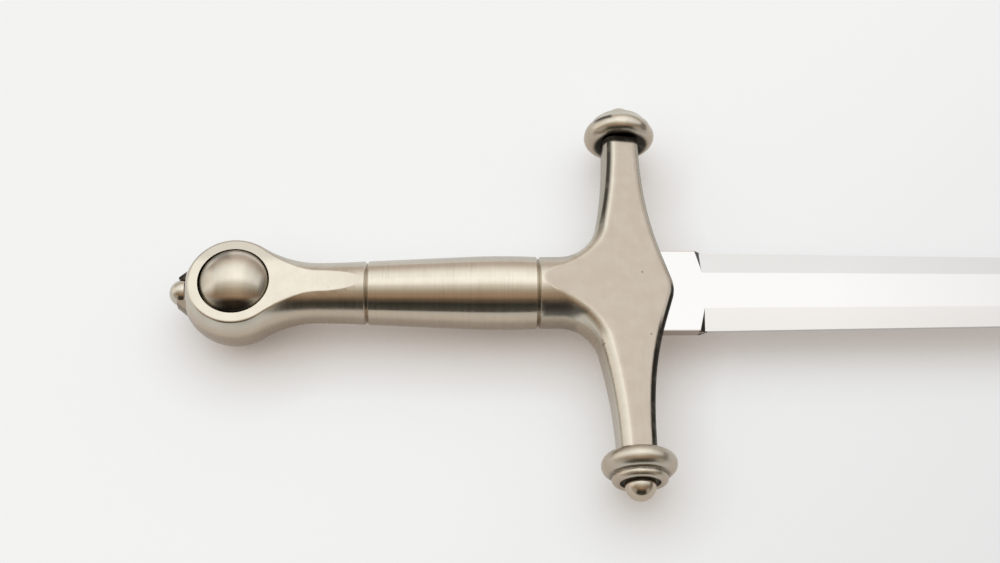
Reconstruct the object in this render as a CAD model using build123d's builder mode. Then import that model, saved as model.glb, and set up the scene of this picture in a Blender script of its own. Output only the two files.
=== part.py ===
import os
from math import radians, sqrt, tan

from build123d import *

os.makedirs("parts", exist_ok=True)

# Letter opener in the form of a cross-hilted sword, lying flat with its point towards +X.
# Sizes are millimetres. Places along X are taken from the quillon axis, the line of the
# guard's arms, and heights from the middle plane of the blade.

# Lengths along the hilt and the blade
point_reach = 172.3          # quillon axis to the blade's point
socket_reach = 13.45         # quillon axis back to the guard's rear face
grip_length = 24.95          # guard's rear face back to the neck of the pommel
neck_length = 19.05          # front of the neck back to the pommel's centre

# Round sections of the hilt
front_joint_radius = 5.28    # where the grip meets the guard
rear_joint_radius = 4.65     # where the grip meets the neck
grip_shoulder_radius = 5.32  # end of the grip's conical part
grip_shoulder_reach = 10.05  # guard's rear face back to the end of that cone
groove_chamfer = 0.33        # each side of a joint groove

# Pommel, a ball with two flats
pommel_radius = 7.75
pommel_half = 4.1            # middle plane to a flat
pommel_edge_round = 0.4
pommel_rim = 1.43            # flat ring between the edge and the disc's recess
seat_reach = 6.95            # pommel's centre back to the collar's seat
neck_waist_radius = 4.42
neck_waist_reach = 11.9      # pommel's centre forward to the waist
runout_reach = 11.5          # pommel's centre forward to where a flat starts to rise
runout_gap = 0.73            # front of the neck back to where the flat runs out

# Domed discs let into the flats
disc_crevice = 0.15          # open ring round a disc
disc_seat_depth = 1.3        # flat to the floor of the recess
disc_land = 0.9              # straight side of a disc
disc_crown = 2.4             # rise of the dome above that side

# Guard
facet_angle = 9.0            # fall of the sloping flat towards the blade
facet_lobe_gap = 1.08        # guard's rear face to the tip of the flat on the socket
facet_rear_round = 1.85      # rounding of the flat's edges towards the grip
facet_front_round = 1.2      # the same towards the blade
arm_reach = 25.1             # middle of the guard to the end of an arm
arm_front_end = 2.4          # front side of an arm, at its end
arm_front_middle = 3.15      # front side, half way along
arm_front_root = 5.05        # front side, where the arm leaves the hub
arm_middle_reach = 13.0
arm_root_reach = 5.1
arm_rear_end = 2.95          # rear side of an arm, at its end
arm_rear_middle = 3.5
arm_rear_root = 4.75
arm_rear_middle_reach = 17.0
flare_reach = 9.8            # half height of the flare between socket and arms
flare_length = 5.57          # length of that flare along X
nose_reach = 6.7             # sharp nose of the outline, before it is rounded
nose_radius = 5.0

# Quillon caps and their studs, places outwards from the end of an arm
cap_hub_radius = 2.4
cap_rim_reach = 1.7          # middle of the fat rim
cap_rim_radius = 5.35
cap_rim_tube = 1.6
cap_tier_step = 2.06         # middle of the rim to the middle of the smaller tier
cap_tier_radius = 4.0
cap_tier_tube = 0.75
cap_groove_radius = 3.6      # floor of the groove between rim and tier
cap_groove_width = 0.22
cap_cup_radius = 2.75        # cup in which the ball of the stud sits
cap_cup_depth = 0.55
stud_ball_radius = 2.2
stud_ball_sink = 0.75        # centre of the ball above the floor of the cup
stud_shank_radius = 0.95
stud_depth = 6.0             # shank's length inside the arm

# Blade
blade_thickness = 1.65
ricasso_width = 13.1
shoulder_reach = 2.2         # quillon axis forward to the blade's shoulders
plunge_edge_reach = 9.95     # quillon axis forward to the plunge, at the blade's edge
plunge_flat_reach = 10.85    # the same, where the bevels leave the flat
plunge_slope = 1.05          # foot of the plunge ahead of its top
edge_step = 0.15             # ricasso's side to the ground edge
edge_thickness = 0.5
flat_root_width = 5.8
point_length = 30.0
point_start_width = 8.6      # edge to edge where the point starts
point_start_flat = 4.2
point_start_thickness = 1.15
tip_width = 0.8
tip_flat = 0.3
tip_thickness = 0.7
point_steps = 5

# Tang and what holds it
tang_width = 5.0
tang_tail = 4.0              # pommel's centre back to the end of the flat tang
stem_radius = 0.8            # round stem behind the flat tang
collar_radius = 3.35
collar_top_radius = 2.35
collar_land = 0.12           # straight rim of the collar
collar_height = 1.4
collar_half = 1.2            # middle plane to a flat of the collar
collar_floor = 0.45          # thickness under the nut
nut_radius = 1.95            # ball of the nut
nut_sink = 0.4               # centre of that ball above its seat in the collar
stem_grip = 1.3              # stem's length inside the nut

# Clearances
tang_clearance = 0.1         # round the blade, the tang and the stem
collar_clearance = 0.1       # round the nut, inside the collar
stud_clearance = 0.06
end_clearance = 0.2          # beyond the blind end of a stem or shank

# Places that follow from these
grip_front = -socket_reach
grip_rear = grip_front - grip_length
pommel_x = grip_rear - neck_length
collar_seat = pommel_x - seat_reach
nut_seat = collar_seat - collar_floor
nut_middle = nut_seat - nut_sink
rear_reach = nut_radius - nut_middle
disc_floor = pommel_half - disc_seat_depth
disc_edge = disc_floor + disc_land
disc_top = disc_edge + disc_crown
quillon_x = (rear_reach - point_reach) / 2
middle_height = max(disc_top, cap_rim_radius)

# Planes and axes of the hilt, with their origin on the quillon axis
origin = Vector(quillon_x, 0, middle_height)
middle = Plane(origin)
side = Plane(origin, x_dir=(1, 0, 0), z_dir=(0, -1, 0))
arm_section = Plane(origin, x_dir=(0, 1, 0), z_dir=(1, 0, 0))
hilt_axis = Axis(origin, (1, 0, 0))
arm_axis = Axis(origin, (0, 1, 0))
disc_axis = Axis(origin + Vector(pommel_x, 0, 0), (0, 0, 1))


def facing_back(reach):
    return Plane(origin + Vector(reach, 0, 0), x_dir=(0, 1, 0), z_dir=(-1, 0, 0))


def slot(width, front):
    with BuildSketch(facing_back(front)) as section:
        Rectangle(width + 2 * tang_clearance, blade_thickness + 2 * tang_clearance)
    return section.sketch


# Pommel: one turned form of ball, flare and neck, then the flats
waist = (pommel_x + neck_waist_reach, neck_waist_radius)
flare_radius = (neck_waist_reach**2 + neck_waist_radius**2 - pommel_radius**2) / (
    2 * (pommel_radius - neck_waist_radius)
)
flare_share = pommel_radius / (pommel_radius + flare_radius)
flare_start = (
    pommel_x + neck_waist_reach * flare_share,
    (neck_waist_radius + flare_radius) * flare_share,
)
neck_span = neck_length - neck_waist_reach
neck_rise = (rear_joint_radius - neck_waist_radius) * (1 - runout_gap / neck_span) ** 2
runout_start = (pommel_x + runout_reach, pommel_half)
runout_span = neck_length - runout_reach
runout_rise = neck_waist_radius + neck_rise - pommel_half
runout_radius = ((runout_span - runout_gap) ** 2 + runout_rise**2) / (2 * runout_rise)
runout_end = (grip_rear, pommel_half + runout_radius - sqrt(runout_radius**2 - runout_span**2))
disc_radius = sqrt(pommel_radius**2 - pommel_half**2) - pommel_rim - disc_crevice

with BuildPart() as pommel:
    with BuildSketch(middle):
        with BuildLine():
            seat_rim = (collar_seat, sqrt(pommel_radius**2 - seat_reach**2))
            neck_end = (grip_rear, rear_joint_radius)
            ThreePointArc(seat_rim, (pommel_x, pommel_radius), flare_start)
            TangentArc(waist, flare_start, tangent=(-1, 0))
            TangentArc(waist, neck_end, tangent=(1, 0))
            Polyline(neck_end, (grip_rear, 0), (collar_seat, 0), seat_rim)
        make_face()
    revolve(axis=hilt_axis)
    chamfer(pommel.edges().sort_by(Axis.X)[-1], groove_chamfer)
    with BuildSketch(side):
        with BuildLine():
            cut_rear = pommel_x - 2 * pommel_radius
            cut_top = 2 * pommel_radius
            Line((cut_rear, pommel_half), runout_start)
            TangentArc(runout_start, runout_end, tangent=(1, 0))
            Polyline(
                runout_end,
                (grip_rear, cut_top),
                (cut_rear, cut_top),
                (cut_rear, pommel_half),
            )
        make_face()
        mirror(about=Plane.XZ)
    extrude(amount=cut_top, both=True, mode=Mode.SUBTRACT)
    flats = pommel.faces().filter_by(Axis.Z)
    fillet(flats.edges().filter_by(GeomType.LINE, reverse=True), pommel_edge_round)
    for face_plane in (middle.offset(pommel_half), -middle.offset(-pommel_half)):
        with BuildSketch(face_plane):
            with Locations((pommel_x, 0)):
                Circle(disc_radius + disc_crevice)
        extrude(amount=-disc_seat_depth, mode=Mode.SUBTRACT)
    tang_depth = neck_length + tang_tail + end_clearance
    extrude(slot(tang_width, grip_rear), amount=tang_depth, mode=Mode.SUBTRACT)
    with BuildSketch(facing_back(pommel_x)):
        Circle(stem_radius + tang_clearance)
    extrude(amount=pommel_radius, mode=Mode.SUBTRACT)

# Domed discs
with BuildPart() as pommel_disc_front:
    with BuildSketch(side):
        with BuildLine():
            disc_rim = (pommel_x + disc_radius, disc_edge)
            disc_pole = (pommel_x, disc_top)
            Polyline(disc_pole, (pommel_x, disc_floor), (pommel_x + disc_radius, disc_floor), disc_rim)
            TangentArc(disc_pole, disc_rim, tangent=(1, 0))
        make_face()
    revolve(axis=disc_axis)

with BuildPart() as pommel_disc_rear:
    mirror(pommel_disc_front.part, about=middle)

# Grip: a cone from the neck that rounds over towards the guard
grip_shoulder = (grip_front - grip_shoulder_reach, grip_shoulder_radius)
grip_heel = (grip_rear, rear_joint_radius)
grip_rise = Vector(*grip_shoulder) - Vector(*grip_heel)

with BuildPart() as grip:
    with BuildSketch(side):
        with BuildLine():
            Line(grip_heel, grip_shoulder)
            TangentArc(grip_shoulder, (grip_front, front_joint_radius), tangent=grip_rise)
            Polyline((grip_front, front_joint_radius), (grip_front, 0), (grip_rear, 0), grip_heel)
        make_face()
    revolve(axis=hilt_axis)
    chamfer(grip.faces().filter_by(Axis.X).edges(), groove_chamfer)
    extrude(slot(tang_width, grip_front), amount=grip_length, mode=Mode.SUBTRACT)

# Guard: arms as a slab, the socket with its flare, then the sloping flats
flare_end = (-arm_rear_root, flare_reach)
flare_root = (-arm_rear_root - flare_length, front_joint_radius)
facet_slope = tan(radians(facet_angle))
facet_tip = grip_front + facet_lobe_gap
facet_fall = facet_slope * (nose_reach - facet_tip)
facet_nose = front_joint_radius - facet_fall
nose_wall = facet_nose - blade_thickness / 2 - tang_clearance
facet_far = 2 * arm_reach

with BuildPart() as guard:
    with BuildSketch(middle):
        with BuildLine():
            rear_end = (-arm_rear_end, arm_reach)
            front_end = (arm_front_end, arm_reach)
            front_root = (arm_front_root, arm_root_reach)
            ThreePointArc(rear_end, (-arm_rear_middle, arm_rear_middle_reach), flare_end)
            Polyline(flare_end, (-arm_rear_root, 0), (nose_reach, 0), front_root)
            nose_run = Vector(*front_root) - Vector(nose_reach, 0)
            front_middle = (arm_front_middle, arm_middle_reach)
            Spline(front_root, front_middle, front_end, tangents=[nose_run, (0, 1)])
            Line(front_end, rear_end)
        make_face()
        mirror(about=Plane.XZ)
        fillet(vertices().sort_by(Axis.X)[-1], nose_radius)
    extrude(amount=facet_far, both=True)
    with BuildSketch(middle):
        with BuildLine():
            Polyline((-arm_rear_root, 0), (grip_front, 0), (grip_front, front_joint_radius), flare_root)
            TangentArc(flare_root, flare_end, tangent=(1, 0))
            Line(flare_end, (-arm_rear_root, 0))
        make_face()
    revolve(axis=hilt_axis)
    chamfer(guard.faces().sort_by(Axis.X)[0].edges(), groove_chamfer)
    with BuildSketch(side):
        with BuildLine():
            Polyline(
                (nose_reach, facet_nose),
                (nose_reach, facet_far),
                (-facet_far, facet_far),
                (-facet_far, facet_nose + facet_slope * (nose_reach + facet_far)),
                close=True,
            )
        make_face()
        mirror(about=Plane.XZ)
    extrude(amount=facet_far, both=True, mode=Mode.SUBTRACT)
    rear_side = (quillon_x - facet_far, quillon_x, facet_rear_round)
    front_side = (quillon_x, quillon_x + facet_far, min(facet_front_round, nose_wall))
    for side_start, side_end, rounding in (rear_side, front_side):
        facets = guard.faces().sort_by(SortBy.AREA)[-2:]
        arm_ends = guard.faces().filter_by(Axis.Y)
        facet_edges = facets.edges() - arm_ends.edges()
        fillet(facet_edges.filter_by_position(Axis.X, side_start, side_end), rounding)
    extrude(slot(ricasso_width, nose_reach), amount=nose_reach - shoulder_reach, mode=Mode.SUBTRACT)
    extrude(slot(tang_width, shoulder_reach), amount=shoulder_reach - grip_front, mode=Mode.SUBTRACT)
    for outwards in (1, -1):
        with Locations(Plane(origin + Vector(0, outwards * arm_reach, 0), z_dir=(0, outwards, 0))):
            Hole(stud_shank_radius + stud_clearance, stud_depth + end_clearance)

# Quillon caps: fat rim, groove, smaller tier and the cup for a ball
rim_reach = arm_reach + cap_rim_reach
tier_reach = rim_reach + cap_tier_step
groove_reach = rim_reach + cap_rim_tube
cup_floor = tier_reach + cap_tier_tube - cap_cup_depth
cap_end = tier_reach + 2 * cap_tier_tube
corner = (Align.MIN, Align.MIN)

with BuildPart() as quillon_cap_upper:
    with BuildSketch(arm_section):
        with Locations((rim_reach, cap_rim_radius - cap_rim_tube)):
            Circle(cap_rim_tube)
        with Locations((tier_reach, cap_tier_radius - cap_tier_tube)):
            Circle(cap_tier_tube)
        with Locations((arm_reach, 0)):
            Rectangle(cap_end - arm_reach, cap_hub_radius, align=corner)
        with Locations((rim_reach, 0)):
            Rectangle(tier_reach - rim_reach, cap_tier_radius - cap_tier_tube, align=corner)
        with Locations((groove_reach, cap_groove_radius)):
            Rectangle(cap_groove_width, cap_rim_radius, align=(Align.CENTER, Align.MIN), mode=Mode.SUBTRACT)
        with Locations((cup_floor, 0)):
            Rectangle(cap_end - cup_floor, cap_cup_radius, align=corner, mode=Mode.SUBTRACT)
        with Locations((arm_reach, 0)):
            bore = stud_shank_radius + stud_clearance
            Rectangle(cap_end - arm_reach, bore, align=corner, mode=Mode.SUBTRACT)
    revolve(axis=arm_axis)

with BuildPart() as quillon_cap_lower:
    mirror(quillon_cap_upper.part, about=Plane.XZ)

# Ball-headed studs that hold the caps
ball_reach = cup_floor + stud_ball_sink
ball_seat = (cup_floor, sqrt(stud_ball_radius**2 - stud_ball_sink**2))

with BuildPart() as quillon_stud_upper:
    with BuildSketch(arm_section):
        with BuildLine():
            shank_end = arm_reach - stud_depth
            ball_pole = (ball_reach + stud_ball_radius, 0)
            Polyline(
                ball_pole,
                (shank_end, 0),
                (shank_end, stud_shank_radius),
                (cup_floor, stud_shank_radius),
                ball_seat,
            )
            ThreePointArc(ball_seat, (ball_reach, stud_ball_radius), ball_pole)
        make_face()
    revolve(axis=arm_axis)

with BuildPart() as quillon_stud_lower:
    mirror(quillon_stud_upper.part, about=Plane.XZ)

# Collar with two flats, and the ball nut that it cups
stem_bore = stem_radius + tang_clearance
stem_end = nut_seat - stem_grip

with BuildPart() as nut_collar:
    with BuildSketch(side):
        with BuildLine():
            cup_radius = nut_radius + collar_clearance
            collar_top = collar_seat - collar_height
            Polyline(
                (collar_seat, stem_bore),
                (collar_seat, collar_radius),
                (collar_seat - collar_land, collar_radius),
                (collar_top, collar_top_radius),
                (collar_top, cup_radius),
                (nut_seat, cup_radius),
                (nut_seat, stem_bore),
                close=True,
            )
        make_face()
    revolve(axis=hilt_axis)
    with BuildSketch(facing_back(collar_seat)):
        Rectangle(2 * collar_radius, 2 * collar_half)
    extrude(amount=collar_height, mode=Mode.INTERSECT)

with BuildPart() as tang_nut:
    with BuildSketch(side):
        with BuildLine():
            nut_pole = (nut_middle - nut_radius, 0)
            nut_brim = (nut_seat, sqrt(nut_radius**2 - nut_sink**2))
            bore_end = stem_end - end_clearance
            Polyline(
                nut_pole,
                (bore_end, 0),
                (bore_end, stem_bore),
                (nut_seat, stem_bore),
                nut_brim,
            )
            ThreePointArc(nut_brim, (nut_middle, nut_radius), nut_pole)
        make_face()
    revolve(axis=hilt_axis)


# Blade: flat ricasso, ground bevels, a spear point, and the tang behind the shoulders
def blade_section(reach, width, flat, thickness):
    with BuildSketch(facing_back(reach)) as section:
        with BuildLine():
            Polyline(
                (width / 2, 0),
                (width / 2, edge_thickness / 2),
                (flat / 2, thickness / 2),
                (-flat / 2, thickness / 2),
                (-width / 2, edge_thickness / 2),
                (-width / 2, 0),
                close=True,
            )
        make_face()
        mirror(about=Plane.XZ)
    return section.sketch


def ridge_section(reach, width, flat, thickness):
    ridge = (edge_thickness + width * (thickness - edge_thickness) / (width - flat)) / 2
    with BuildSketch(facing_back(reach)) as section:
        with BuildLine():
            Polyline(
                (width / 2, 0),
                (width / 2, edge_thickness / 2),
                (0, ridge),
                (-width / 2, edge_thickness / 2),
                (-width / 2, 0),
                close=True,
            )
        make_face()
        mirror(about=Plane.XZ)
    return section.sketch


def ricasso_outline(height, ahead):
    with BuildSketch(middle.offset(height)) as outline:
        with BuildLine():
            Polyline(
                (shoulder_reach, 0),
                (shoulder_reach, ricasso_width / 2),
                (plunge_edge_reach + ahead, ricasso_width / 2),
                (plunge_flat_reach + ahead, flat_root_width / 2),
                (plunge_flat_reach + ahead, 0),
                close=True,
            )
        make_face()
        mirror(about=Plane.XZ)
    return outline.sketch


def point_section(share):
    narrowing = 1 - share**2
    return blade_section(
        point_start + point_length * share,
        tip_width + (point_start_width - tip_width) * narrowing,
        tip_flat + (point_start_flat - tip_flat) * narrowing,
        point_start_thickness + (tip_thickness - point_start_thickness) * share,
    )


point_start = point_reach - point_length
root_width = ricasso_width - 2 * edge_step
tang_end = pommel_x - tang_tail

with BuildPart() as blade:
    root = (plunge_flat_reach, root_width, flat_root_width, blade_thickness)
    point = (point_start, point_start_width, point_start_flat, point_start_thickness)
    loft([ridge_section(*root), ridge_section(*point)], ruled=True)
    with BuildSketch(side):
        with BuildLine():
            Polyline(
                (plunge_flat_reach, 0),
                (plunge_flat_reach, blade_thickness / 2),
                (point_start, point_start_thickness / 2),
                (point_start, 0),
                close=True,
            )
        make_face()
        mirror(about=Plane.XZ)
    extrude(amount=ricasso_width, both=True, mode=Mode.INTERSECT)
    loft([point_section(step / point_steps) for step in range(point_steps + 1)])
    extrude(blade_section(*root), amount=plunge_flat_reach - shoulder_reach)
    ricasso_foot = ricasso_outline(0, plunge_slope)
    ricasso_top = ricasso_outline(blade_thickness / 2, 0)
    upper_half = loft([ricasso_foot, ricasso_top], ruled=True)
    mirror(upper_half, about=middle)
    with BuildSketch(facing_back(shoulder_reach)):
        Rectangle(tang_width, blade_thickness)
    extrude(amount=shoulder_reach - tang_end)
    with BuildSketch(facing_back(tang_end)):
        Circle(stem_radius)
    extrude(amount=tang_end - stem_end)

pieces = {
    "blade": blade,
    "guard": guard,
    "quillon_cap_upper": quillon_cap_upper,
    "quillon_cap_lower": quillon_cap_lower,
    "quillon_stud_upper": quillon_stud_upper,
    "quillon_stud_lower": quillon_stud_lower,
    "grip": grip,
    "pommel": pommel,
    "pommel_disc_front": pommel_disc_front,
    "pommel_disc_rear": pommel_disc_rear,
    "nut_collar": nut_collar,
    "tang_nut": tang_nut,
}
for name, piece in pieces.items():
    piece.part.label = name
    export_step(piece.part, f"parts/{name}.step")
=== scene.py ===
import math

import bpy
from mathutils import Matrix, Quaternion, Vector


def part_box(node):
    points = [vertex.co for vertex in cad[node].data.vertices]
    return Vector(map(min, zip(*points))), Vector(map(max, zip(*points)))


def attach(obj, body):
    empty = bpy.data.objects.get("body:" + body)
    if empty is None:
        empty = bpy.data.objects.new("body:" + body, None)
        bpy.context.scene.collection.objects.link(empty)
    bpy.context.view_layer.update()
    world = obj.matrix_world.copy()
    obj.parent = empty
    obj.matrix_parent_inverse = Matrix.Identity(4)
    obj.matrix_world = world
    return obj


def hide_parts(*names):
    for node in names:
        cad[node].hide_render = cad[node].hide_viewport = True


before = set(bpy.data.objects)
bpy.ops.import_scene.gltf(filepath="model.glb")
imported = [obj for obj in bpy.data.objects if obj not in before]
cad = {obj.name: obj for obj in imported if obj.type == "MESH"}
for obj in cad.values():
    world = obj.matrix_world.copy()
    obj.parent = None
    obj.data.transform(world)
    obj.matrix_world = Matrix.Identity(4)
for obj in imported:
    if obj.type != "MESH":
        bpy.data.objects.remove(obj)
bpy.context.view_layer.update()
scene = bpy.context.scene
millimetre = 0.001
print("frame loaded:", len(cad), "nodes")


def middleOf(node):
    low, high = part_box(node)
    return (low + high) / 2


# places that the looks hang on, all read from the frame
quillonAxis = middleOf("quillon_cap_upper").x
hiltMiddle = Vector((quillonAxis, 0, middleOf("grip").z))  # in the blade's middle plane
pommelMiddle = middleOf("pommel_disc_front")
discLow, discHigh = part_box("pommel_disc_front")
rearJoint, frontJoint = (corner.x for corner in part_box("grip"))
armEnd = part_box("quillon_cap_upper")[0].y


# a place along X, in millimetres from the quillon axis
def inHilt(place):
    return (place - hiltMiddle.x) / millimetre


pommelX = inHilt(pommelMiddle.x)
discEdge = (discHigh.x - discLow.x) / 2 / millimetre
armReach = armEnd / millimetre


# shader helpers
def addNode(tree, kind, **settings):
    made = tree.nodes.new(kind)
    for name, value in settings.items():
        setattr(made, name, value)
    return made


def feed(tree, value, socket):
    if isinstance(value, bpy.types.NodeSocket):
        tree.links.new(value, socket)
    else:
        socket.default_value = value


def calculate(tree, operation, first, second=0.0, clamp=False):
    made = addNode(tree, "ShaderNodeMath", operation=operation, use_clamp=clamp)
    feed(tree, first, made.inputs[0])
    feed(tree, second, made.inputs[1])
    return made.outputs[0]


def remap(tree, value, low, high, newLow=0.0, newHigh=1.0, smooth=True):
    made = addNode(tree, "ShaderNodeMapRange", interpolation_type="SMOOTHSTEP" if smooth else "LINEAR")
    feed(tree, value, made.inputs["Value"])
    made.inputs["From Min"].default_value = low
    made.inputs["From Max"].default_value = high
    made.inputs["To Min"].default_value = newLow
    made.inputs["To Max"].default_value = newHigh
    return made.outputs["Result"]


def mixColour(tree, share, first, second, blend="MIX"):
    made = addNode(tree, "ShaderNodeMix", data_type="RGBA", blend_type=blend)
    feed(tree, share, made.inputs[0])
    feed(tree, first, made.inputs[6])
    feed(tree, second, made.inputs[7])
    return made.outputs[2]


def split(tree, vector):
    made = addNode(tree, "ShaderNodeSeparateXYZ")
    tree.links.new(vector, made.inputs[0])
    return made.outputs


def newGroup(name, inputs, outputs):
    tree = bpy.data.node_groups.new(name, "ShaderNodeTree")
    for label, kind in inputs:
        tree.interface.new_socket(label, in_out="INPUT", socket_type=kind)
    for label, kind in outputs:
        tree.interface.new_socket(label, in_out="OUTPUT", socket_type=kind)
    return tree, addNode(tree, "NodeGroupInput"), addNode(tree, "NodeGroupOutput")


def placeGroup(tree, group, **values):
    made = addNode(tree, "ShaderNodeGroup", node_tree=group)
    for label, value in values.items():
        feed(tree, value, made.inputs[label])
    return made


def newMaterial(name):
    material = bpy.data.materials.new(name)
    material.use_nodes = True
    tree = material.node_tree
    return material, tree, tree.nodes["Principled BSDF"]


# fine parallel brush marks: the vector is long along the marks and short across them
brushLook = {
    "layers": [(1.0, 3.0, 0.62), (3.1, 2.0, 0.38)],  # scale, detail and share of broad and fine marks
    "raggedness": 0.62,
    "streakRange": (0.34, 0.66),
}


def makeBrushGroup(look):
    tree, taken, given = newGroup(
        "brushMarks",
        [("Vector", "NodeSocketVector")],
        [("Streaks", "NodeSocketFloat"), ("Height", "NodeSocketFloat")],
    )
    layers = []
    for scale, detail, share in look["layers"]:
        texture = addNode(tree, "ShaderNodeTexNoise")
        tree.links.new(taken.outputs["Vector"], texture.inputs["Vector"])
        texture.inputs["Scale"].default_value = scale
        texture.inputs["Detail"].default_value = detail
        texture.inputs["Roughness"].default_value = look["raggedness"]
        layers.append(calculate(tree, "MULTIPLY", texture.outputs["Fac"], share))
    together = calculate(tree, "ADD", *layers)
    tree.links.new(remap(tree, together, *look["streakRange"]), given.inputs["Streaks"])
    tree.links.new(together, given.inputs["Height"])
    return tree


# what the mould and the years leave: slow waves, small pits, and a mottled tone
castLook = {
    "clouds": {"Mottle": (420.0, 4.0), "Waves": (160.0, 1.0)},  # scale and detail
    "pitSize": (0.10, 0.30),  # least and largest, as shares of a cell
}


def makeCastGroup(look):
    tree, taken, given = newGroup(
        "castSkin",
        [("Vector", "NodeSocketVector"), ("Pit Scale", "NodeSocketFloat"),
         ("Pit Share", "NodeSocketFloat")],
        [("Mottle", "NodeSocketFloat"), ("Waves", "NodeSocketFloat"), ("Pits", "NodeSocketFloat")],
    )
    for label, (scale, detail) in look["clouds"].items():
        texture = addNode(tree, "ShaderNodeTexNoise")
        tree.links.new(taken.outputs["Vector"], texture.inputs["Vector"])
        texture.inputs["Scale"].default_value = scale
        texture.inputs["Detail"].default_value = detail
        tree.links.new(texture.outputs["Fac"], given.inputs[label])
    pits = addNode(tree, "ShaderNodeTexVoronoi")
    tree.links.new(taken.outputs["Vector"], pits.inputs["Vector"])
    tree.links.new(taken.outputs["Pit Scale"], pits.inputs["Scale"])
    chance = addNode(tree, "ShaderNodeSeparateColor")
    tree.links.new(pits.outputs["Color"], chance.inputs["Color"])
    chosen = calculate(tree, "LESS_THAN", chance.outputs["Red"], taken.outputs["Pit Share"])
    size = remap(tree, chance.outputs["Green"], 0.0, 1.0, *look["pitSize"], smooth=False)
    away = calculate(tree, "DIVIDE", pits.outputs["Distance"], size)
    hollow = calculate(tree, "SUBTRACT", 1.0, away, clamp=True)
    tree.links.new(calculate(tree, "MULTIPLY", hollow, chosen), given.inputs["Pits"])
    return tree


# a block of dirt and painted shade, half its tone at the sides that two corners give, and soft to both sides
# of them
def makeSoilAndShadeGroup():
    tree, taken, given = newGroup(
        "soilAndShadeBlock",
        [("Vector", "NodeSocketVector"), ("Low", "NodeSocketVector"), ("High", "NodeSocketVector"),
         ("Soft", "NodeSocketVector")],
        [("SoilAndShade", "NodeSocketFloat")],
    )
    sides = []
    for first, second in (("Vector", "Low"), ("High", "Vector")):
        gap = addNode(tree, "ShaderNodeVectorMath", operation="SUBTRACT")
        tree.links.new(taken.outputs[first], gap.inputs[0])
        tree.links.new(taken.outputs[second], gap.inputs[1])
        share = addNode(tree, "ShaderNodeVectorMath", operation="DIVIDE")
        tree.links.new(gap.outputs[0], share.inputs[0])
        tree.links.new(taken.outputs["Soft"], share.inputs[1])
        sides += list(split(tree, share.outputs[0]))
    least = sides[0]
    for side in sides[1:]:
        least = calculate(tree, "MINIMUM", least, side)
    tree.links.new(remap(tree, least, -0.5, 0.5), given.inputs["SoilAndShade"])
    return tree


brushGroup = makeBrushGroup(brushLook)
castGroup = makeCastGroup(castLook)
soilAndShadeGroup = makeSoilAndShadeGroup()

everywhere = 1000.0  # millimetres, past every surface of the part
facetSlope = math.tan(math.radians(9.0))  # fall of the guard's flat towards the blade
facetHeight = 3.32  # that flat above the middle plane at the quillon axis, in millimetres
facetEdge = (0.10, 0.01)  # depth below it where its matt finish starts and is full


# distance from an axis and place along it, as the first two parts of a vector
def roundPlace(tree, coordinates, centre, axis):
    parts = split(tree, coordinates)
    squares = []
    for letter, middle in zip("XYZ", centre):
        away = calculate(tree, "SUBTRACT", parts[letter], middle)
        if letter == axis:
            height = away
        else:
            squares.append(calculate(tree, "MULTIPLY", away, away))
    made = addNode(tree, "ShaderNodeCombineXYZ")
    tree.links.new(calculate(tree, "SQRT", calculate(tree, "ADD", *squares)), made.inputs["X"])
    tree.links.new(height, made.inputs["Y"])
    return made.outputs["Vector"]


# place from the hilt's middle; with a slope, the height makes up for the fall of the guard's flats
def hiltPlace(tree, coordinates, slope=0.0):
    shifted = addNode(tree, "ShaderNodeVectorMath", operation="SUBTRACT")
    tree.links.new(coordinates, shifted.inputs[0])
    shifted.inputs[1].default_value = hiltMiddle
    if not slope:
        return shifted.outputs[0]
    parts = split(tree, shifted.outputs[0])
    height = calculate(tree, "ABSOLUTE", parts["Z"])
    lift = calculate(tree, "MULTIPLY", parts["X"], slope)
    made = addNode(tree, "ShaderNodeCombineXYZ")
    tree.links.new(parts["X"], made.inputs["X"])
    tree.links.new(parts["Y"], made.inputs["Y"])
    tree.links.new(calculate(tree, "ADD", height, lift), made.inputs["Z"])
    return made.outputs["Vector"]


# an entry of dirt and painted shade is an axis, the facet or none, low and high corners and softness in
# millimetres, and tone;
# round an axis, the corners are distances from it and places along it
def soilAndShadeFrom(tree, coordinates, entries):
    total = 0.0
    for axis, low, high, soft, tone in entries:
        if axis is None:
            place = hiltPlace(tree, coordinates)
        elif axis == "facet":
            place = hiltPlace(tree, coordinates, facetSlope)
        else:
            centre = Vector((pommelMiddle.x, 0, hiltMiddle.z)) if axis == "Z" else hiltMiddle
            place = roundPlace(tree, coordinates, centre, axis)
            low = (*low, -everywhere)
            high = (*high, everywhere)
        block = placeGroup(tree, soilAndShadeGroup, Vector=place)
        block.inputs["Low"].default_value = [value * millimetre for value in low]
        block.inputs["High"].default_value = [value * millimetre for value in high]
        block.inputs["Soft"].default_value = [value * millimetre for value in soft]
        soilAndShade = calculate(tree, "MULTIPLY", block.outputs["SoilAndShade"], tone)
        total = calculate(tree, "MAXIMUM", soilAndShade, total)
    return total


def brushedAlong(tree, coordinates, grain):
    stretched = addNode(tree, "ShaderNodeMapping", vector_type="POINT")
    tree.links.new(coordinates, stretched.inputs["Vector"])
    stretched.inputs["Scale"].default_value = grain
    return placeGroup(tree, brushGroup, Vector=stretched.outputs["Vector"])


# heights are in millimetres
def raiseSurface(tree, height, shader):
    bump = addNode(tree, "ShaderNodeBump")
    bump.inputs["Strength"].default_value = 1.0
    bump.inputs["Distance"].default_value = millimetre
    tree.links.new(height, bump.inputs["Height"])
    tree.links.new(bump.outputs["Normal"], shader.inputs["Normal"])
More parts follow.
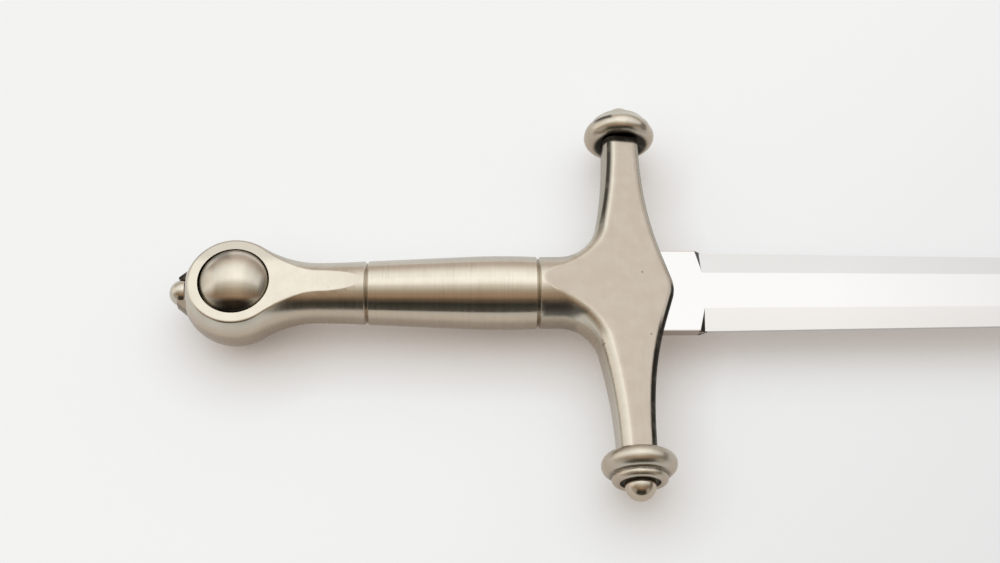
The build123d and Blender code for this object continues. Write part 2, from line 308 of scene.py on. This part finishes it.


# antique nickel on the castings: satin brushed and warm, with painted shade on the flanks and blocks of dirt
# and painted shade
nickel = {
    "colour": (0.545, 0.505, 0.430, 1),
    "shade": (0.515, 0.470, 0.395, 1),
    "wornRange": (0.35, 0.65),  # of the mottle, from shade to colour
    "streakColour": (0.60, 0.56, 0.48, 1),
    "streakTone": 0.35,
    "roughness": 0.20,
    "streakRoughness": 0.08,
    "anisotropy": 0.0,
    "anisotropyTurn": 0.25,  # of a full turn, from round the hilt to along it
    "grain": (2600.0, 60.0, 2600.0),  # brushed along the arms
    "markDepth": 0.0030,
    "waveDepth": 0.006,
    "pitScale": 1100.0,
    "pitShare": 0.005,
    "pitDepth": 0.03,
    "facetRoughness": 0.0,
    "facetTint": (0.862, 0.822, 0.826, 1),
    "paintedFlankShade": (3.4, 1.8),  # painted shade on the flanks: millimetres from the middle plane where it starts and where it is full
    "paintedFlankShadeTint": (0.93, 0.82, 0.75, 1),
    "paintedFlankShadeMottle": (0.30, 0.60, 0.75, 1.0),  # range of the mottle, and least and most of the painted shade
    "soilAndShade": [],
    "soilAndShadeMottle": (0.30, 0.55, 0.85, 1.0),
    # dark colour of pits, dirt and painted shade
    "sootAndShade": (0.014, 0.012, 0.009, 1),
    "sootAndShadeRoughness": 0.20,
}


def castNickel(name, look):
    material, tree, shader = newMaterial(name)
    coordinates = addNode(tree, "ShaderNodeTexCoord").outputs["Object"]
    marks = brushedAlong(tree, coordinates, look["grain"])
    skin = placeGroup(tree, castGroup, Vector=coordinates)
    skin.inputs["Pit Scale"].default_value = look["pitScale"]
    skin.inputs["Pit Share"].default_value = look["pitShare"]
    mottle = skin.outputs["Mottle"]
    streaks = marks.outputs["Streaks"]

    colour = mixColour(tree, remap(tree, mottle, *look["wornRange"]), look["shade"], look["colour"])
    streakShare = calculate(tree, "MULTIPLY", streaks, look["streakTone"])
    colour = mixColour(tree, streakShare, colour, look["streakColour"])
    streakRoughness = calculate(tree, "MULTIPLY", streaks, look["streakRoughness"])
    roughness = calculate(tree, "ADD", look["roughness"], streakRoughness)
    # painted shade: darker and warmer on the flanks near the middle plane
    if look["paintedFlankShade"]:
        level = calculate(tree, "ABSOLUTE", split(tree, hiltPlace(tree, coordinates))["Z"])
        low = remap(tree, level, *(height * millimetre for height in look["paintedFlankShade"]))
        low = calculate(tree, "MULTIPLY", low, remap(tree, mottle, *look["paintedFlankShadeMottle"]))
        colour = mixColour(tree, low, colour, look["paintedFlankShadeTint"], "MULTIPLY")
    if look["facetRoughness"]:
        level = split(tree, hiltPlace(tree, coordinates, facetSlope))["Z"]
        matt = remap(tree, level, *((facetHeight - depth) * millimetre for depth in facetEdge))
        colour = mixColour(tree, matt, colour, look["facetTint"], "MULTIPLY")
        mattRoughness = calculate(tree, "MULTIPLY", matt, look["facetRoughness"])
        roughness = calculate(tree, "ADD", roughness, mattRoughness)

    # dirt and painted shade from the blocks, patchy with the mottle
    soilAndShade = soilAndShadeFrom(tree, coordinates, look["soilAndShade"])
    patchy = calculate(tree, "MULTIPLY", soilAndShade, remap(tree, mottle, *look["soilAndShadeMottle"]))
    sootAndShade = calculate(tree, "MAXIMUM", skin.outputs["Pits"], patchy)
    tree.links.new(mixColour(tree, sootAndShade, colour, look["sootAndShade"]), shader.inputs["Base Color"])
    sootAndShadeRoughness = calculate(tree, "MULTIPLY", sootAndShade, look["sootAndShadeRoughness"])
    tree.links.new(calculate(tree, "ADD", roughness, sootAndShadeRoughness, clamp=True), shader.inputs["Roughness"])
    shader.inputs["Metallic"].default_value = 1.0
    if look["anisotropy"]:
        shader.inputs["Anisotropic"].default_value = look["anisotropy"]
        shader.inputs["Anisotropic Rotation"].default_value = look["anisotropyTurn"]
        roundHilt = addNode(tree, "ShaderNodeTangent", direction_type="RADIAL", axis="X")
        tree.links.new(roundHilt.outputs["Tangent"], shader.inputs["Tangent"])

    markHeight = calculate(tree, "MULTIPLY", marks.outputs["Height"], look["markDepth"])
    waveHeight = calculate(tree, "MULTIPLY", skin.outputs["Waves"], look["waveDepth"])
    pitHeight = calculate(tree, "MULTIPLY", skin.outputs["Pits"], look["pitDepth"])
    height = calculate(tree, "ADD", markHeight, waveHeight)
    raiseSurface(tree, calculate(tree, "SUBTRACT", height, pitHeight), shader)
    return material


# dirt in the joints at both ends of the grip, and painted shade on the hilt's lower half and on its +Y side
jointSoil = [
    (None, (inHilt(place) - 0.08, -20, 1.5), (inHilt(place) + 0.03, 20, 20), (0.10, 1, 3), 0.18)
    for place in (rearJoint, frontJoint)
]
paintedSideShade = [
    # painted shade on the lower half
    (None, (-90, -9, -9), (-8, 9, 1.3), (1, 1, 1.4), 0.28),
    # painted shade on the +Y side
    (None, (-90, 3.5, -9), (-8, 9, 9), (1, 1.4, 1), 0.20),
]

# dirt in the crevice round each disc, and painted reflections on the front dome
crevice = {
    "inside": 0.02,  # millimetres from the disc's edge
    "outside": 0.17,
    "middle": 0.3,  # above the disc's seat
    "halfDepth": 0.85,
}
creviceHeight = (discLow.z - hiltMiddle.z) / millimetre + crevice["middle"]
discSoil = [
    ("Z", (discEdge - crevice["inside"], height - crevice["halfDepth"]),
     (discEdge + crevice["outside"], height + crevice["halfDepth"]), (0.08, 0.08, 1), 0.85)
    for height in (creviceHeight, -creviceHeight)
]
domePaintedReflection = [
    # a painted reflection: a brown patch behind the crown, and down its left side
    (None, (pommelX - 4.0, 2.9, 0), (pommelX - 0.6, 5.4, 9), (1.3, 1.3, 1), 0.52),
    (None, (pommelX - 6.0, -2.4, 0), (pommelX - 3.9, 3.4, 9), (1.6, 1.6, 1), 0.32),
    # a painted dark reflection where the dome dips in front
    (None, (pommelX - 2.6, -6.0, 0), (pommelX + 3.0, -3.30, 9), (1.8, 0.9, 1), 0.92),
]

# painted shade and painted reflections on the guard, and a few pits and nicks
socketShade = [(None, (-12.9, -5.1, 2.1), (-6.6, -3.5, 4.0), (1.0, 0.8, 0.8), 0.70)]  # painted shade in the corner under the lobe
armShadeAndMarks = [
    # painted dark reflection on the rear of the upper arm, and on its wall
    ("facet", (-9.0, 9.0, 2.50), (-1.6, 40.0, facetHeight - 0.26), (0.3, 7.0, 0.35), 0.92),
    ("facet", (-9.0, 9.0, -4.0), (-1.6, 40.0, 2.5), (0.3, 7.0, 0.35), 0.28),
    # painted dark reflection on the front of the lower arm, up to the nose, and on the front of the upper arm
    ("facet", (1.0, -30.0, 1.75), (9.0, -6.0, facetHeight - 0.02), (0.3, 3.0, 0.04), 0.96),
    ("facet", (1.0, -8.0, 1.20), (9.0, 0.4, facetHeight - 0.12), (0.3, 1.5, 0.10), 0.95),
    ("facet", (1.0, 1.0, 1.60), (9.0, 24.0, facetHeight - 0.30), (0.3, 3.0, 0.30), 0.50),
    # painted shade under the upper knob
    (None, (-9.0, armReach - 1.0, -9.0), (9.0, 30.0, 9.0), (0.3, 0.5, 0.3), 0.98),
    # pits on the front flat
    (None, (1.60, 1.75, 0.0), (1.85, 2.0, 9.0), (0.15, 0.15, 1), 0.55),
    (None, (2.35, -8.2, 0.0), (2.6, -7.9, 9.0), (0.15, 0.15, 1), 0.45),
]
nicks = [(5.25, -4.4, 0.25), (4.95, -5.2, 0.35), (3.25, -12.7, 0.30), (3.2, -13.3, 0.2)]  # place and size
armShadeAndMarks += [
    (None, (x - size, y - size, 0.0), (x + size, y + size, 9.0), (size, size, 1), 0.9)
    for x, y, size in nicks
]

# painted shade on the knobs
grooveReach = armReach + 3.30
cupReach = armReach + 4.05
upperCapShade = [
    # painted shade round the arm's end, and at the rear of the rim
    ("Y", (0.0, armReach - 0.6), (4.1, armReach + 1.1), (0.7, 0.7, 1), 0.97),
    (None, (-4.2, armReach + 2.2, 1.2), (-1.7, armReach + 2.9, 9.0), (0.7, 0.5, 1), 0.85),
]
lowerCapShade = [
    # painted shade round the arm's end, between rim and tier, and round the ball
    ("Y", (0.0, -armReach - 0.6), (3.6, 0.6 - armReach), (0.5, 0.5, 1), 0.95),
    ("Y", (0.0, -grooveReach - 0.13), (4.7, 0.13 - grooveReach), (0.15, 0.15, 1), 0.50),
    ("Y", (0.0, -cupReach - 0.30), (2.95, 0.30 - cupReach), (0.15, 0.15, 1), 0.92),
]

# patina and painted shade on the collar, black on one side of the nut
collarPatinaAndShade = [
    (None, (-90, 0.2, -20), (-50, 20, 20), (0.1, 1.2, 0.1), 0.98),
    (None, (-90, -20, -20), (-50, 20, 20), (0.1, 0.1, 0.1), 0.55),
]

roundNickel = dict(nickel, grain=(3300.0, 100.0, 100.0))  # brushed round the hilt
ballNickel = dict(nickel, roughness=0.12, markDepth=0.0015, pitShare=0.0)
# painted shade on the knobs' flanks, stronger and warmer
capNickel = dict(
    nickel, grain=(120.0, 2600.0, 120.0), markDepth=0.0, waveDepth=0.003,
    paintedFlankShade=(4.5, 1.5), paintedFlankShadeTint=(0.85, 0.76, 0.70, 1),
)
looks = {
    # painted shade on the guard's flanks, strongest here
    "guardNickel": dict(
        nickel, roughness=0.22, facetRoughness=0.14, pitShare=0.0,
        paintedFlankShade=(2.3, 1.6), paintedFlankShadeTint=(0.78, 0.70, 0.63, 1),
        soilAndShade=jointSoil + paintedSideShade + socketShade + armShadeAndMarks,
    ),
    "gripNickel": dict(
        roundNickel, roughness=0.15, anisotropy=0.6, streakTone=0.65, markDepth=0.010,
        soilAndShade=jointSoil + paintedSideShade,
    ),
    "pommelNickel": dict(roundNickel, roughness=0.18, soilAndShade=jointSoil + discSoil + paintedSideShade),
    "discNickel": dict(
        roundNickel, roughness=0.09, streakRoughness=0.05, paintedFlankShade=None,
        soilAndShade=discSoil + domePaintedReflection,
    ),
    "upperCapNickel": dict(capNickel, soilAndShade=upperCapShade),
    "lowerCapNickel": dict(capNickel, roughness=0.26, soilAndShade=lowerCapShade),
    # painted shade on the studs near the middle plane
    "studNickel": dict(ballNickel, paintedFlankShade=(2.4, 0.6)),
    "nutNickel": dict(ballNickel, paintedFlankShade=None),
    "collarNickel": dict(nickel, soilAndShade=collarPatinaAndShade),
}
nickels = {name: castNickel(name, look) for name, look in looks.items()}

# mirror-polished steel with the faintest lengthwise marks
bladeLook = {
    "colour": (0.575, 0.57, 0.565, 1),
    "roughness": 0.045,
    "roughnessRise": 0.03,
    "grain": (12.0, 1500.0, 1500.0),
    "markDepth": 0.0004,
    "sootAndShade": (0.035, 0.030, 0.026, 1),
    "soilAndShade": [  # painted dark reflection in the four plunges
        (None, (9.80, y[0], z[0]), (10.72, y[1], z[1]), (0.10, 0.4, 0.05), 0.9)
        for y in ((3.1, 7.0), (-7.0, -3.1)) for z in ((0.15, 0.77), (-0.77, -0.15))
    ],
    "sidePaintedShade": (0.40, 0.345, 0.305, 1),  # painted shade on the sides of the ricasso, darker and warmer
    "sideReach": (6.36, 6.46),  # millimetres from the middle where it starts and where it is full
}


def makeBladeSteel(look):
    material, tree, shader = newMaterial("bladeSteel")
    coordinates = addNode(tree, "ShaderNodeTexCoord").outputs["Object"]
    marks = brushedAlong(tree, coordinates, look["grain"])
    away = calculate(tree, "ABSOLUTE", split(tree, coordinates)["Y"])
    # painted shade on the ricasso's sides
    side = remap(tree, away, *(reach * millimetre for reach in look["sideReach"]))
    colour = mixColour(tree, side, look["colour"], look["sidePaintedShade"])
    soilAndShade = soilAndShadeFrom(tree, coordinates, look["soilAndShade"])
    tree.links.new(mixColour(tree, soilAndShade, colour, look["sootAndShade"]), shader.inputs["Base Color"])
    rise = calculate(tree, "MULTIPLY", marks.outputs["Streaks"], look["roughnessRise"])
    tree.links.new(calculate(tree, "ADD", look["roughness"], rise), shader.inputs["Roughness"])
    shader.inputs["Metallic"].default_value = 1.0
    raiseSurface(tree, calculate(tree, "MULTIPLY", marks.outputs["Height"], look["markDepth"]), shader)
    return material


finishes = {
    "blade": makeBladeSteel(bladeLook),
    "guard": nickels["guardNickel"],
    "quillon_cap_upper": nickels["upperCapNickel"],
    "quillon_cap_lower": nickels["lowerCapNickel"],
    "quillon_stud_upper": nickels["studNickel"],
    "quillon_stud_lower": nickels["studNickel"],
    "grip": nickels["gripNickel"],
    "pommel": nickels["pommelNickel"],
    "pommel_disc_front": nickels["discNickel"],
    "pommel_disc_rear": nickels["discNickel"],
    "nut_collar": nickels["collarNickel"],
    "tang_nut": nickels["nutNickel"],
}


def giveFinish(piece, node):
    piece.data.materials.clear()
    piece.data.materials.append(finishes[node])


for node in finishes:
    giveFinish(cad[node], node)
print("finishes on", len(finishes), "nodes")


# modelling helpers
mergeReach = 1e-6  # metres, for the loose corners of a copied node
smoothing = 0.5  # of the way to the neighbours, in each round
midGrey = 0.5  # of the clouds, where they move nothing


def workOn(piece):
    bpy.ops.object.select_all(action="DESELECT")
    piece.select_set(True)
    bpy.context.view_layer.objects.active = piece


def applyModifier(piece, name, kind, **settings):
    modifier = piece.modifiers.new(name, kind)
    for label, value in settings.items():
        setattr(modifier, label, value)
    bpy.ops.object.modifier_apply(modifier=name)


# a merged copy of a node with even faces and soft edges, in millimetres from the hilt's middle
def softCopyOf(node, name, look):
    piece = bpy.data.objects.new(name, cad[node].data.copy())
    piece.data.name = name
    scene.collection.objects.link(piece)
    workOn(piece)
    bpy.ops.object.mode_set(mode="EDIT")
    bpy.ops.mesh.select_all(action="SELECT")
    bpy.ops.mesh.remove_doubles(threshold=mergeReach)
    bpy.ops.object.mode_set(mode="OBJECT")
    piece.data.transform(Matrix.Translation(-hiltMiddle))
    piece.data.transform(Matrix.Scale(1 / millimetre, 4))
    applyModifier(piece, "even", "REMESH", mode="VOXEL", voxel_size=look["voxel"])
    applyModifier(piece, "soften", "SMOOTH", factor=smoothing, iterations=look["softening"])
    return piece


# the worked copy, back in metres, stands in for its node
def backToFrame(piece, node):
    piece.data.transform(Matrix.Scale(millimetre, 4))
    piece.data.transform(Matrix.Translation(hiltMiddle))
    workOn(piece)
    bpy.ops.object.shade_smooth()
    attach(piece, "root")
    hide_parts(node)
    giveFinish(piece, node)
    print(piece.name, "has", len(piece.data.polygons), "faces")


# the knobs as they come out of the mould: soft edges, uneven skin, a few knocks
lowerKnobLook = {
    "voxel": 0.09,  # millimetres, like the sizes below
    "softening": 30,
    "spread": 1.0,  # makes up for what the softening takes
    "stretch": 1.0,  # outwards from the arm's end
    "shift": 0.0,  # along X
    "cloudSize": 2.6,
    "cloudDepth": 0.12,
    "knocks": [  # place from the hilt's middle, radius and depth
        ((-4.3, -28.7, 1.6), 0.7, 0.30),
        ((5.0, -28.6, 1.6), 1.0, 0.30),
        ((4.3, -29.3, 2.3), 0.6, 0.25),
        ((3.4, -29.6, 2.9), 0.5, 0.15),
    ],
    "settling": 10,
}
upperKnobLook = dict(  # more worn down
    lowerKnobLook, voxel=0.18, softening=200, spread=1.06, stretch=1.13, shift=-0.15,
    knocks=[((4.6, 27.6, 2.4), 1.3, 0.18), ((-3.6, 29.0, 2.6), 1.1, 0.22)],
)


def knockIn(piece, place, radius, depth):
    spot = Vector(place)
    for vertex in piece.data.vertices:
        near = 1 - (vertex.co - spot).length / radius
        if near > 0:
            vertex.co -= vertex.normal * depth * near * near * (3 - 2 * near)


def makeKnob(node, name, look):
    piece = softCopyOf(node, name, look)
    foot = math.copysign(armReach, piece.data.vertices[0].co.y)
    for vertex in piece.data.vertices:
        vertex.co.x = vertex.co.x * look["spread"] + look["shift"]
        vertex.co.y = foot + (vertex.co.y - foot) * look["stretch"]
        vertex.co.z *= look["spread"]
    clouds = bpy.data.textures.new(name + "Clouds", "CLOUDS")
    clouds.noise_scale = look["cloudSize"]
    applyModifier(piece, "uneven", "DISPLACE", texture=clouds, strength=look["cloudDepth"], mid_level=midGrey)
    for place, radius, depth in look["knocks"]:
        knockIn(piece, place, radius, depth)
    applyModifier(piece, "settle", "SMOOTH", factor=smoothing, iterations=look["settling"])
    backToFrame(piece, node)


makeKnob("quillon_cap_upper", "knobUpper", upperKnobLook)
makeKnob("quillon_cap_lower", "knobLower", lowerKnobLook)

# the front dome sits a little askew in its recess, high behind and low in front
domeLook = {
    "voxel": 0.10,  # millimetres
    "softening": 14,
    "spread": 1.016,  # fills most of the crevice
    "lean": math.tan(math.radians(4.0)),
    "sink": 0.03,
}


def makeDome(node, name, look):
    piece = softCopyOf(node, name, look)
    seat = min(vertex.co.z for vertex in piece.data.vertices)
    for vertex in piece.data.vertices:
        vertex.co.x = pommelX + (vertex.co.x - pommelX) * look["spread"]
        vertex.co.y *= look["spread"]
        if vertex.co.z > seat + look["voxel"]:
            vertex.co.z += vertex.co.y * look["lean"] - look["sink"]
    backToFrame(piece, node)


makeDome("pommel_disc_front", "domeFront", domeLook)

# plain pale floor under the part, with painted shade towards the front right and a painted contact shadow
# round the part
floorLook = {
    "colour": (0.50, 0.53, 0.555, 1),
    "paintedShadeColour": (0.335, 0.36, 0.375, 1),
    "paintedShadeReach": (-0.08, 0.10),  # metres across, from colour to the painted shade colour
    "glow": (0.45, 0.45, 0.45),  # lifts the paper to white where it is looked at, straight or in the metal
    "contactReach": 11.0,  # millimetres round the part in which the glow fades, a painted contact shadow
    "contactSide": (-0.45, 0.45, 0.77),  # where that glow comes from
    "contactFall": (0.42, 0.58, 0.70),  # where that glow comes from, which sets the side of the painted contact shadow
    "contactSamples": 4,
    "roughness": 0.8,
    "specular": 0.2,
    "reach": 3.0,
}


def makeFloor(look):
    bpy.ops.object.select_all(action="DESELECT")
    bpy.ops.mesh.primitive_plane_add(size=2 * look["reach"], location=(0, 0, 0))
    floor = bpy.context.object
    floor.name = "floor"
    material, tree, shader = newMaterial("floorPaper")
    place = split(tree, addNode(tree, "ShaderNodeTexCoord").outputs["Object"])
    # painted shade: the paper greyer towards the front right
    across = remap(tree, calculate(tree, "SUBTRACT", place["X"], place["Y"]), *look["paintedShadeReach"])
    tree.links.new(mixColour(tree, across, look["colour"], look["paintedShadeColour"]), shader.inputs["Base Color"])
    shader.inputs["Roughness"].default_value = look["roughness"]
    shader.inputs["Specular IOR Level"].default_value = look["specular"]

    # painted contact shadow: the glow fades near the part
    contact = addNode(tree, "ShaderNodeAmbientOcclusion", samples=look["contactSamples"])
    contact.inputs["Distance"].default_value = look["contactReach"] * millimetre
    towards = addNode(tree, "ShaderNodeCombineXYZ")
    for socket, value in zip(towards.inputs, look["contactSide"]):
        socket.default_value = value
    tree.links.new(towards.outputs["Vector"], contact.inputs["Normal"])
    glow = addNode(tree, "ShaderNodeCombineColor")
    for socket, level, fall in zip(glow.inputs, look["glow"], look["contactFall"]):
        share = calculate(tree, "POWER", contact.outputs["AO"], fall)
        tree.links.new(calculate(tree, "MULTIPLY", level, share), socket)
    tree.links.new(glow.outputs["Color"], shader.inputs["Emission Color"])

    path = addNode(tree, "ShaderNodeLightPath").outputs
    mirrored = calculate(tree, "MAXIMUM", path["Is Glossy Ray"], path["Is Transmission Ray"])
    seen = calculate(tree, "MAXIMUM", path["Is Camera Ray"], mirrored)
    tree.links.new(seen, shader.inputs["Emission Strength"])
    floor.data.materials.append(material)


makeFloor(floorLook)

# soft light from a broad bright sheet overhead and on the left, leaning away from the camera
skyLook = {
    "strength": 1.75,
    "arch": [  # degrees from straight up, positive away from the camera, and colour
        (-180, (0.12, 0.11, 0.10)),
        (-82, (0.062, 0.058, 0.050)),
        (-75, (0.042, 0.042, 0.036)),
        (-61, (0.022, 0.022, 0.018)),
        (-55, (0.076, 0.059, 0.044)),
        (-48, (0.115, 0.080, 0.054)),
        (-42, (0.225, 0.155, 0.105)),
        (-36, (0.310, 0.215, 0.145)),
        (-29, (0.300, 0.220, 0.160)),
        (-23, (0.340, 0.275, 0.210)),
        (-16, (0.400, 0.350, 0.290)),
        (-10, (0.515, 0.480, 0.420)),
        (-3, (0.600, 0.575, 0.530)),
        (3, (0.790, 0.770, 0.730)),
        (10, (0.950, 0.935, 0.920)),
        (16, (0.985, 0.980, 0.970)),
        (23, (0.985, 0.985, 0.980)),
        (30, (0.960, 0.960, 0.945)),
        (38, (0.890, 0.900, 0.900)),
        (45, (0.830, 0.825, 0.815)),
        (53, (0.740, 0.710, 0.680)),
        (62, (0.610, 0.570, 0.530)),
        (71, (0.480, 0.430, 0.390)),
        (81, (0.440, 0.380, 0.345)),
        (93, (0.500, 0.440, 0.410)),
        (180, (0.500, 0.480, 0.460)),
    ],
    "sideways": [  # X of the direction, and share of the arch's light
        (-1.0, 0.90),
        (-0.70, 0.78),
        (-0.50, 0.84),
        (-0.30, 0.92),
        (0.0, 1.0),
        (0.25, 0.98),
        (0.335, 0.90),
        (0.405, 0.83),
        (0.56, 0.76),
        (0.70, 0.67),
        (0.86, 0.62),
        (1.0, 0.40),
    ],
    "left": (0.70, 0.67, 0.63, 1),
    "leftReach": (-0.70, -0.88),
    "leftFront": (-0.45, 0.25),
    "front": (0.33, 0.305, 0.27, 1),  # beside the dark stretch in front
    "frontReach": (0.42, 0.68),
    "frontAngle": (-36, -52),
    "right": (0.15, 0.135, 0.12, 1),
    "rightReach": (0.80, 0.97),
}


def makeRamp(tree, value, stops):
    low = stops[0][0]
    high = stops[-1][0]
    ramp = addNode(tree, "ShaderNodeValToRGB")
    feed(tree, remap(tree, value, low, high, smooth=False), ramp.inputs["Fac"])
    elements = ramp.color_ramp.elements
    for place, colour in stops[1:-1]:
        elements.new((place - low) / (high - low))
    for element, (place, colour) in zip(elements, stops):
        element.position = (place - low) / (high - low)
        element.color = (*colour, 1)
    return ramp.outputs["Color"]


def makeSky(look):
    world = bpy.data.worlds.new("softStudio")
    world.use_nodes = True
    scene.world = world
    tree = world.node_tree
    towards = split(tree, addNode(tree, "ShaderNodeTexCoord").outputs["Generated"])
    angle = calculate(tree, "DEGREES", calculate(tree, "ARCTAN2", towards["Y"], towards["Z"]))
    greys = [(place, (level, level, level)) for place, level in look["sideways"]]
    arch = makeRamp(tree, angle, look["arch"])
    colour = mixColour(tree, 1.0, arch, makeRamp(tree, towards["X"], greys), "MULTIPLY")

    aside = remap(tree, calculate(tree, "ABSOLUTE", towards["X"]), *look["frontReach"])
    front = calculate(tree, "MULTIPLY", aside, remap(tree, angle, *look["frontAngle"]))
    colour = mixColour(tree, front, colour, look["front"])
    left = remap(tree, towards["X"], *look["leftReach"])
    left = calculate(tree, "MULTIPLY", left, remap(tree, towards["Y"], *look["leftFront"]))
    colour = mixColour(tree, left, colour, look["left"])
    right = remap(tree, towards["X"], *look["rightReach"])
    colour = mixColour(tree, right, colour, look["right"])

    background = tree.nodes["Background"]
    tree.links.new(colour, background.inputs["Color"])
    background.inputs["Strength"].default_value = look["strength"]


makeSky(skyLook)
print("floor and light set")

# camera where the photograph was taken from, measured from the hilt's middle in millimetres
cameraLook = {
    "lens": 53.466,
    "sensor": 36.0,
    "place": (-25.347, -97.739, 194.759),
    "aim": (-18.973, 1.887, 0.0),
    "roll": math.radians(3.186),
    "clipStart": 0.01,  # metres
}


def makeCamera(look):
    lens = bpy.data.cameras.new("camera")
    lens.sensor_width = look["sensor"]
    lens.sensor_fit = "HORIZONTAL"
    lens.lens = look["lens"]
    lens.clip_start = look["clipStart"]
    camera = bpy.data.objects.new("camera", lens)
    scene.collection.objects.link(camera)
    place = hiltMiddle + Vector(look["place"]) * millimetre
    aim = hiltMiddle + Vector(look["aim"]) * millimetre
    turn = (aim - place).to_track_quat("-Z", "Y")
    camera.location = place
    camera.rotation_mode = "QUATERNION"
    camera.rotation_quaternion = turn @ Quaternion((0, 0, 1), look["roll"])
    scene.camera = camera


makeCamera(cameraLook)
scene.view_settings.view_transform = "Standard"
print("camera set")
